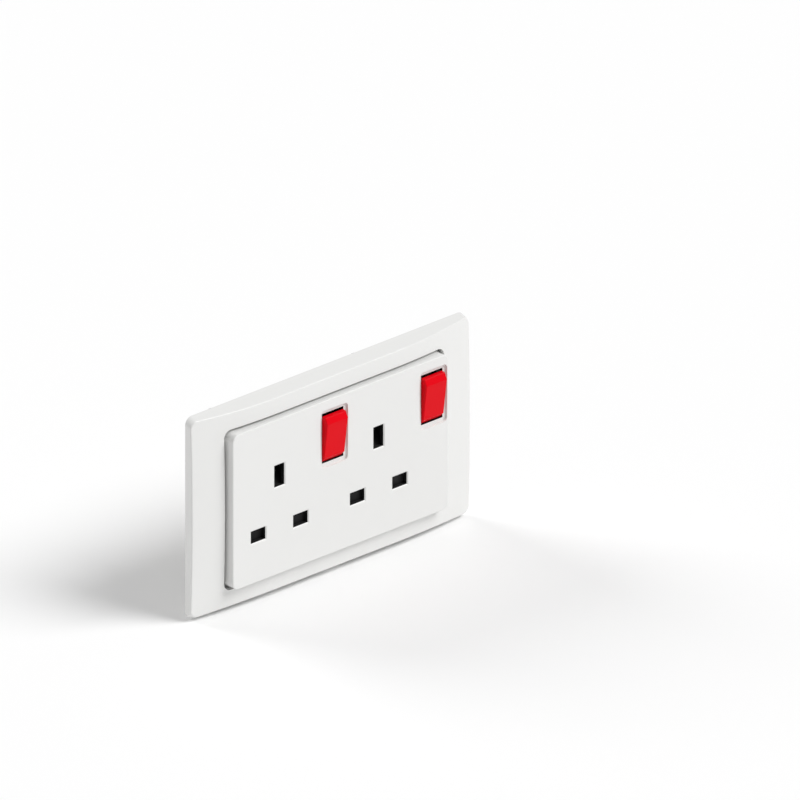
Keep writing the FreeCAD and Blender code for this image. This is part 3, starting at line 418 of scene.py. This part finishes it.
def settled_dust():
    """Thin dust that gathers on faces turned upwards."""
    if "settled_dust" in bpy.data.node_groups:
        return bpy.data.node_groups["settled_dust"]
    group, entry, leave = new_group(
        "settled_dust",
        [
            ("Colour", "NodeSocketColor", (0.8, 0.8, 0.8, 1.0)),
            ("Dust colour", "NodeSocketColor", (0.55, 0.53, 0.50, 1.0)),
            ("Roughness", "NodeSocketFloat", 0.3),
            ("Amount", "NodeSocketFloat", 0.1),
        ],
        [("Colour", "NodeSocketColor"), ("Roughness", "NodeSocketFloat")],
    )
    split = group.nodes.new("ShaderNodeSeparateXYZ")
    group.links.new(group.nodes.new("ShaderNodeNewGeometry").outputs["Normal"], split.inputs["Vector"])
    upward = spread(group, split.outputs["Z"], low=0.55, high=0.95)
    place = group.nodes.new("ShaderNodeTexCoord").outputs["Object"]
    grain = noise(group, place, scale=700.0, detail=5.0, roughness=0.7)
    specks = spread(group, grain, low=0.4, high=0.65, to_low=0.25)
    settled = math_node(group, "MULTIPLY", upward, specks)
    amount = math_node(group, "MULTIPLY", settled, entry.outputs["Amount"])
    colour = blended(group, amount, entry.outputs["Colour"], entry.outputs["Dust colour"])
    group.links.new(colour, leave.inputs["Colour"])
    dulling = math_node(group, "MULTIPLY", amount, DUST_DULLING)
    group.links.new(math_node(group, "ADD", entry.outputs["Roughness"], dulling), leave.inputs["Roughness"])
    return group


# ---------------------------------------------------------------- materials


def place_group(material, group, values):
    node = material.node_tree.nodes.new("ShaderNodeGroup")
    node.node_tree = group
    for label, value in values.items():
        node.inputs[label].default_value = value
    return node


def finish_surface(material, source, height, shader_values, relief, relief_depth):
    tree = material.node_tree
    shader = tree.nodes["Principled BSDF"]
    tree.links.new(source.outputs["Colour"], shader.inputs["Base Color"])
    tree.links.new(source.outputs["Roughness"], shader.inputs["Roughness"])
    bump = tree.nodes.new("ShaderNodeBump")
    bump.inputs["Strength"].default_value = relief
    bump.inputs["Distance"].default_value = relief_depth
    tree.links.new(height, bump.inputs["Height"])
    tree.links.new(bump.outputs["Normal"], shader.inputs["Normal"])
    for label, value in shader_values.items():
        shader.inputs[label].default_value = value


def new_material(name):
    material = bpy.data.materials.new(name)
    material.use_nodes = True
    return material


def opaque(colour):
    return (*colour, 1.0)


def shaded(colour, factor):
    return (*[part * factor for part in colour], 1.0)


def moulding(name, colour, gloss, flow=0.97, mottle=0.3, skin=900.0, relief=0.1, depth=SKIN_DEPTH,
             shine=0.5, dust=0.06):
    material = new_material(name)
    skin_node = place_group(material, moulded_skin(), {
        "Colour": opaque(colour), "Flow colour": shaded(colour, flow), "Mottle": mottle,
        "Gloss low": gloss[0], "Gloss high": gloss[1], "Skin scale": skin,
    })
    dust_node = place_group(material, settled_dust(), {"Amount": dust})
    tree = material.node_tree
    tree.links.new(skin_node.outputs["Colour"], dust_node.inputs["Colour"])
    tree.links.new(skin_node.outputs["Roughness"], dust_node.inputs["Roughness"])
    finish_surface(
        material, dust_node, skin_node.outputs["Height"],
        {"IOR": PLASTIC_IOR, "Specular IOR Level": shine}, relief, depth,
    )


def metal(name, colour, tarnish_colour, tarnish=0.5, gloss=(0.2, 0.45), relief=0.15):
    material = new_material(name)
    source = place_group(material, rolled_metal(), {
        "Colour": opaque(colour), "Tarnish colour": tarnish_colour, "Tarnish": tarnish,
        "Gloss low": gloss[0], "Gloss high": gloss[1],
    })
    finish_surface(material, source, source.outputs["Height"], {"Metallic": 1.0}, relief, ROLLED_DEPTH)


def make_finishes():
    """Makes every finish once; each is found again by its name."""
    colours = settings("colours")
    white, black, zinc = tuple(colours.white), tuple(colours.black), tuple(colours.zinc)
    silver, brass = tuple(colours.silver), tuple(colours.brass)
    moulding("surround_white", white, gloss=(0.2, 0.265), mottle=0.15, relief=0.05, dust=0.02)
    moulding("panel_white", white, gloss=(0.285, 0.34), mottle=0.15, relief=0.06, dust=0.02)
    moulding(
        "rocker_red", tuple(colours.red), gloss=(0.285, 0.35), flow=0.9, mottle=0.2, relief=0.06,
        shine=0.07, dust=0.01,
    )
    # One black for the shutters and carrier, and also for the painted shade in the pin ways and rocker wells.
    moulding(
        "inner_black", black, gloss=(0.45, 0.65), flow=1.6, mottle=0.5, skin=1800.0, relief=0.3,
        shine=0.2, dust=0.02,
    )
    moulding(
        "housing_cream", tuple(colours.housing), gloss=(0.42, 0.6), flow=0.9, mottle=0.6, skin=2600.0,
        relief=0.45, depth=SPARKED_DEPTH, dust=0.15,
    )
    moulding("plunger_white", shaded(white, 0.95)[:3], gloss=(0.35, 0.5))
    metal("strip_brass", brass, opaque(colours.tarnish))
    metal("clamp_brass", brass, shaded(brass, 0.6), tarnish=0.35, gloss=(0.18, 0.35))
    metal("plated_steel", zinc, shaded(zinc, 0.72), tarnish=0.4, gloss=(0.22, 0.42))
    metal("spring_steel", zinc, shaded(zinc, 0.5), tarnish=0.6, gloss=(0.25, 0.4))
    metal("tip_silver", silver, shaded(silver, 0.8), tarnish=0.3, gloss=(0.1, 0.25))


def finish(name):
    if name not in bpy.data.materials:
        make_finishes()
    return bpy.data.materials[name]


def dress_nodes(material_name, *nodes):
    for name in nodes:
        cad = frame["nodes"][name]
        cad.data.materials.clear()
        cad.data.materials.append(finish(material_name))


def both_sides(*names):
    return [name + "_" + side for name in names for side in SIDES]


# ---------------------------------------------------------------- operators


class SOCKET_OT_white_mouldings(bpy.types.Operator):
    """Give the surround and the raised panel their glossy white plastic."""

    bl_idname = "socket.white_mouldings"
    bl_label = "White mouldings"

    def execute(self, context):
        dress_nodes("surround_white", "surround_plate")
        dress_nodes("panel_white", "front_panel")
        return {"FINISHED"}


class SOCKET_OT_rockers(bpy.types.Operator):
    """Give the rockers their red plastic and the plungers behind them theirs."""

    bl_idname = "socket.rockers"
    bl_label = "Rockers"

    def execute(self, context):
        dress_nodes("rocker_red", *both_sides("rocker"))
        dress_nodes("plunger_white", *both_sides("plunger"))
        return {"FINISHED"}


class SOCKET_OT_inner_mouldings(bpy.types.Operator):
    """Give the shutters and the carrier their black plastic."""

    bl_idname = "socket.inner_mouldings"
    bl_label = "Inner mouldings"

    def execute(self, context):
        dress_nodes("inner_black", "contact_carrier", *both_sides("shutter"))
        return {"FINISHED"}


class SOCKET_OT_rear_housing(bpy.types.Operator):
    """Give the rear housing its sparked finish and the screws their metal."""

    bl_idname = "socket.rear_housing"
    bl_label = "Rear housing"

    def execute(self, context):
        dress_nodes("housing_cream", "rear_housing")
        dress_nodes("plated_steel", "housing_screws")
        dress_nodes("clamp_brass", "terminal_screws")
        return {"FINISHED"}


class SOCKET_OT_contacts(bpy.types.Operator):
    """Give the bars, contacts, tips and springs their metals."""

    bl_idname = "socket.contacts"
    bl_label = "Contacts and springs"

    def execute(self, context):
        dress_nodes("strip_brass", "live_bar", "neutral_bar", "earth_bar")
        dress_nodes("strip_brass", *both_sides("line_contact", "moving_contact"))
        dress_nodes("tip_silver", "fixed_tips", *both_sides("moving_tip"))
        dress_nodes("spring_steel", *both_sides("rocker_spring"))
        return {"FINISHED"}


class SOCKET_OT_shutter_springs(bpy.types.Operator):
    """Wind the two return springs as fixed coils; unlike the real ones, they don't shorten as the shutters open.
    """

    bl_idname = "socket.shutter_springs"
    bl_label = "Shutter springs"

    def execute(self, context):
        for side in SIDES:
            node = "shutter_spring_" + side
            low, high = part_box(node)
            piece = wound_wire("return_spring_" + side, low, high)
            piece.data.materials.append(finish("spring_steel"))
            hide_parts(node)
            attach(piece, "socket")
            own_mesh(piece)
        return {"FINISHED"}


def painted_shade_tube(name, low, high, front, back):
    """A dark tube of painted shade that lines a four-sided way through the panel, with a softened front rim."""
    sizes = settings("linings")
    gap = sizes.clearance
    piece = open_box(
        name, (low[0] + gap, PANEL_FACE + front, low[1] + gap),
        (high[0] - gap, PANEL_FACE + back, high[1] - gap),
    )
    wall = piece.modifiers.new("wall", "SOLIDIFY")
    wall.thickness = sizes.wall
    wall.offset = -1.0
    rim = piece.modifiers.new("rim", "BEVEL")
    rim.width = sizes.wall / 4
    rim.segments = 2
    for modifier in ("wall", "rim"):
        bpy.ops.object.modifier_apply(modifier=modifier)
    return piece


class SOCKET_OT_pin_way_painted_shade(bpy.types.Operator):
    """Put painted shade in the six pin ways: a dark tube in each, so that each reads as one dark slot."""

    bl_idname = "socket.pin_way_linings"
    bl_label = "Pin way linings"

    def execute(self, context):
        sizes = settings("linings")
        for side in SIDES:
            tubes = []
            for way in PIN_WAYS:
                if not way["name"].startswith(side):
                    continue
                low, high = way["box_m"]
                tubes.append(painted_shade_tube(
                    way["name"], (low[0] - WAY_INSET, low[2] - WAY_INSET),
                    (high[0] + WAY_INSET, high[2] + WAY_INSET), sizes.way_front, sizes.way_back,
                ))
            whole = joined("pin_way_linings_" + side, tubes)
            # The black tubes are painted shade: the panel's own walls in these ways are white.
            whole.data.materials.append(finish("inner_black"))
            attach(whole, "socket")
        return {"FINISHED"}


class SOCKET_OT_rocker_well_painted_shade(bpy.types.Operator):
    """Put painted shade in the two rocker openings: a dark tube round each, so that each rocker stands in a dark
    frame.
    """

    bl_idname = "socket.rocker_well_linings"
    bl_label = "Rocker well linings"

    def execute(self, context):
        sizes = settings("linings")
        half_wide, half_high = sizes.well_width / 2, sizes.well_height / 2
        for side in SIDES:
            across, _, up = next(
                joint["pos_m"] for joint in frame["joints"] if joint["name"] == "rocker_%s_tilt" % side
            )
            well = painted_shade_tube(
                "rocker_well_lining_" + side, (across - half_wide, up - half_high),
                (across + half_wide, up + half_high), sizes.well_front, sizes.well_back,
            )
            # The black tube is painted shade round the rocker: the panel's own walls here are white.
            well.data.materials.append(finish("inner_black"))
            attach(well, "socket")
        return {"FINISHED"}


class SOCKET_OT_studio(bpy.types.Operator):
    """Set up the floor, the soft light and the camera."""

    bl_idname = "socket.studio"
    bl_label = "Studio"

    def execute(self, context):
        studio = settings("studio")
        add_floor(studio)
        add_light(studio)
        add_camera(studio)
        return {"FINISHED"}


# ---------------------------------------------------------------- studio


def view_axes(studio):
    turn, rise = studio.azimuth, studio.elevation
    back = Vector((math.sin(turn) * math.cos(rise), -math.cos(turn) * math.cos(rise), math.sin(rise)))
    right = Vector((math.cos(turn), math.sin(turn), 0.0))
    return back, right, back.cross(right)


def add_floor(studio):
    start_alone()
    bpy.ops.mesh.primitive_plane_add(size=studio.floor_size, location=(0.0, 0.0, PLATE_BOTTOM - FLOOR_GAP))
    floor = bpy.context.object
    floor.name = "floor"
    material = new_material("floor_paint")
    shader = material.node_tree.nodes["Principled BSDF"]
    shader.inputs["Base Color"].default_value = (0.96, 0.96, 0.96, 1.0)
    shader.inputs["Roughness"].default_value = 0.8
    shader.inputs["Specular IOR Level"].default_value = 0.1
    floor.data.materials.append(material)


def far_light(name, spot, spread, strength):
    """A wide, far lamp, which lights the whole floor evenly."""
    light = bpy.data.lights.new(name, "SUN")
    light.angle = spread
    light.energy = strength
    lamp = bpy.data.objects.new(name, light)
    bpy.context.scene.collection.objects.link(lamp)
    lamp.location = spot
    lamp.rotation_euler = (-Vector(spot)).to_track_quat("-Z", "Y").to_euler()


def add_sky(studio):
    """An even white sky: soft as a light, and pale where the camera sees past the floor."""
    world = bpy.data.worlds.new("studio_sky")
    world.use_nodes = True
    tree = world.node_tree
    sky = tree.nodes["Background"]
    backdrop = tree.nodes.new("ShaderNodeBackground")
    for part, strength in ((sky, studio.sky_strength), (backdrop, studio.backdrop_strength)):
        part.inputs["Color"].default_value = (1.0, 1.0, 1.0, 1.0)
        part.inputs["Strength"].default_value = strength
    either = tree.nodes.new("ShaderNodeMixShader")
    seen = tree.nodes.new("ShaderNodeLightPath").outputs["Is Camera Ray"]
    for source, socket in ((seen, 0), (sky.outputs[0], 1), (backdrop.outputs[0], 2)):
        tree.links.new(source, either.inputs[socket])
    tree.links.new(either.outputs[0], tree.nodes["World Output"].inputs["Surface"])
    bpy.context.scene.world = world


def add_light(studio):
    add_sky(studio)
    bpy.context.scene.view_settings.view_transform = "Standard"
    far_light("key_light", (0.6, -0.85, 1.2), math.radians(34.0), studio.key_strength)
    far_light("back_light", (-0.3, 1.2, 0.8), math.radians(30.0), studio.back_strength)


def add_camera(studio):
    back, right, up = view_axes(studio)
    camera = bpy.data.cameras.new("photo_camera")
    camera.type = "ORTHO"
    camera.ortho_scale = studio.view_width
    camera.clip_start, camera.clip_end = 0.01, 20.0
    eye = bpy.data.objects.new("photo_camera", camera)
    bpy.context.scene.collection.objects.link(eye)
    eye.location = right * studio.aim_right + up * studio.aim_up + back * studio.distance
    eye.rotation_euler = back.to_track_quat("Z", "Y").to_euler()
    bpy.context.scene.camera = eye


# ---------------------------------------------------------------- panel and registration


PIECES = (
    SOCKET_OT_white_mouldings,
    SOCKET_OT_rockers,
    SOCKET_OT_inner_mouldings,
    SOCKET_OT_rear_housing,
    SOCKET_OT_contacts,
    SOCKET_OT_shutter_springs,
    SOCKET_OT_pin_way_painted_shade,
    SOCKET_OT_rocker_well_painted_shade,
    SOCKET_OT_studio,
)
GROUPS = {
    "linings": PaintedShadeSizes, "springs": SpringSizes, "colours": MouldingColours, "studio": StudioSettings,
}


class SOCKET_PT_looks(bpy.types.Panel):
    """The socket's pieces, one button each."""

    bl_idname = "SOCKET_PT_looks"
    bl_label = "Twin socket"
    bl_space_type = "VIEW_3D"
    bl_region_type = "UI"
    bl_category = "Socket"

    def draw(self, context):
        for piece in PIECES:
            self.layout.operator(piece.bl_idname)
        for name, group in GROUPS.items():
            box = self.layout.box()
            for label in group.__annotations__:
                box.prop(settings(name), label)


def register():
    for kind in (*GROUPS.values(), *PIECES, SOCKET_PT_looks):
        bpy.utils.register_class(kind)
    for name, group in GROUPS.items():
        setattr(bpy.types.Scene, "socket_" + name, bpy.props.PointerProperty(type=group))


def unregister():
    for name in GROUPS:
        delattr(bpy.types.Scene, "socket_" + name)
    for kind in reversed((*GROUPS.values(), *PIECES, SOCKET_PT_looks)):
        bpy.utils.unregister_class(kind)


def main():
    register()
    for piece in PIECES:
        category, action = piece.bl_idname.split(".")
        getattr(getattr(bpy.ops, category), action)()


if __name__ == "__main__":
    main()
